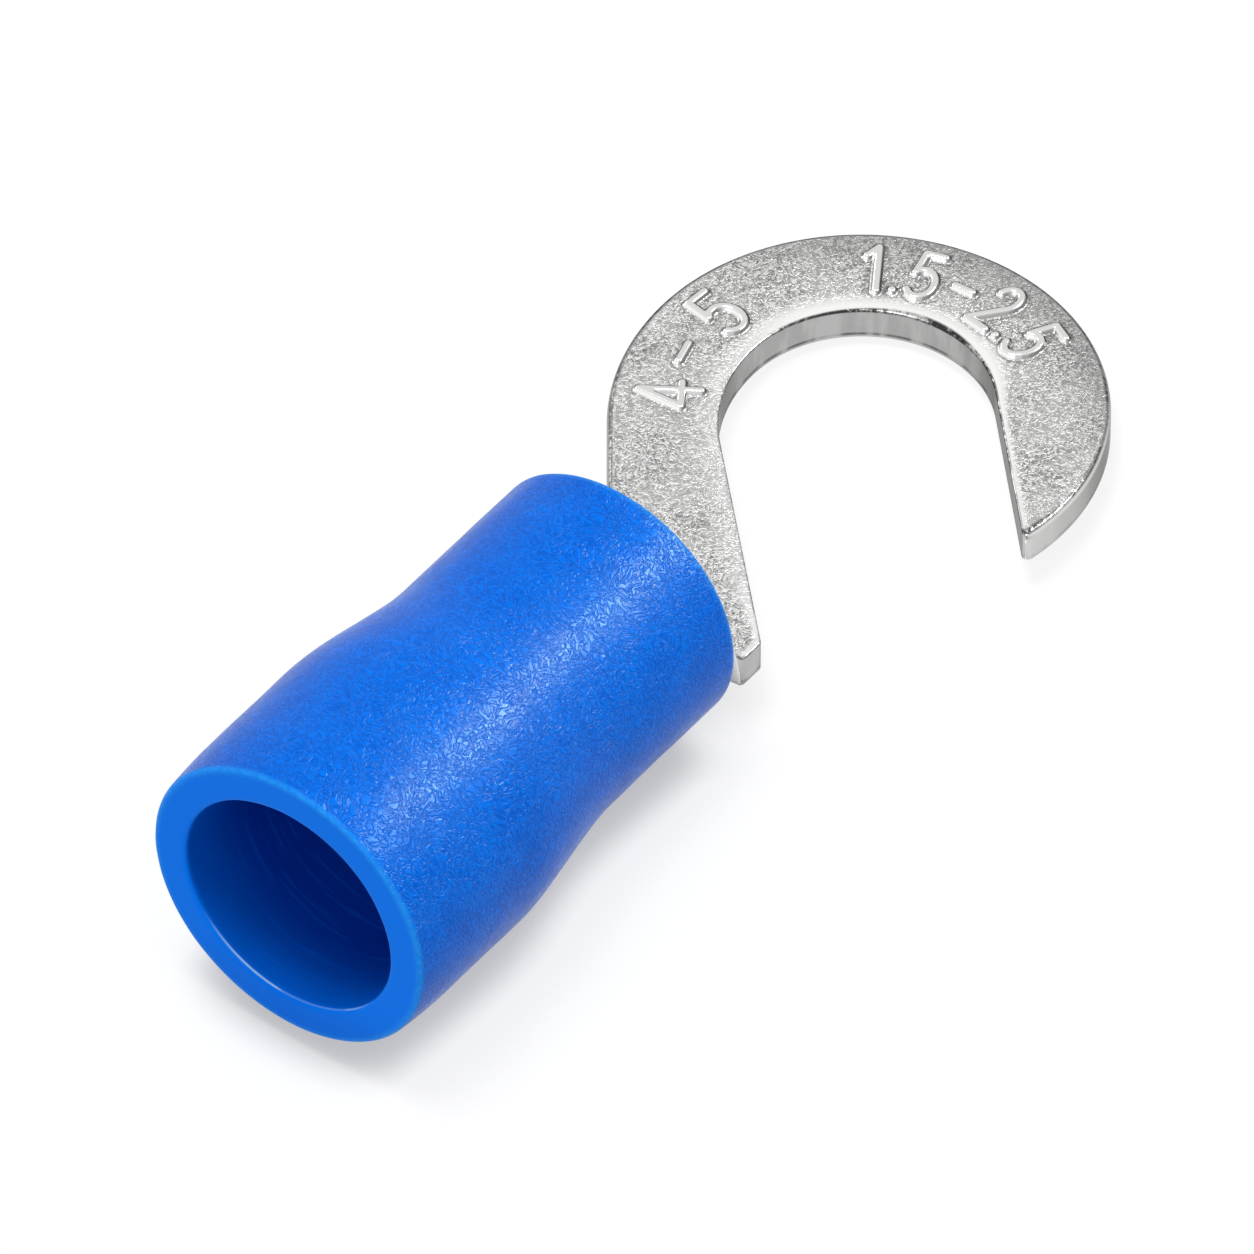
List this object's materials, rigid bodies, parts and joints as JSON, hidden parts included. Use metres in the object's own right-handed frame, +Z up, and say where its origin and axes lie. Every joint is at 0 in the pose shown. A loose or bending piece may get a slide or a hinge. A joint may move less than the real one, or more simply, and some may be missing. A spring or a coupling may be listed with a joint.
{
  "type": "insulated hook terminal",
  "caption": "Crimp hook terminal with a flat stamped hook tongue for a stud, a rolled wire barrel and a blue insulating sleeve with a wide wire entry.",
  "frame": {"origin": "stud centre on the underside of the hook tongue", "axes": "+Y along the part from the wire entry to the hook, +X to the side where the hook opens, +Z up out of the tongue"},
  "size_m": [0.0096, 0.0232, 0.0064],
  "materials": {
    "tinned_copper": "tin plated, fine matte stamped faces with polished edges",
    "blue_pvc": "satin moulded PVC with a fine leathery skin"
  },
  "bodies": {
    "root": {"hook_terminal_body": "tinned_copper", "insulating_sleeve": "blue_pvc"}
  },
  "joints": []
}
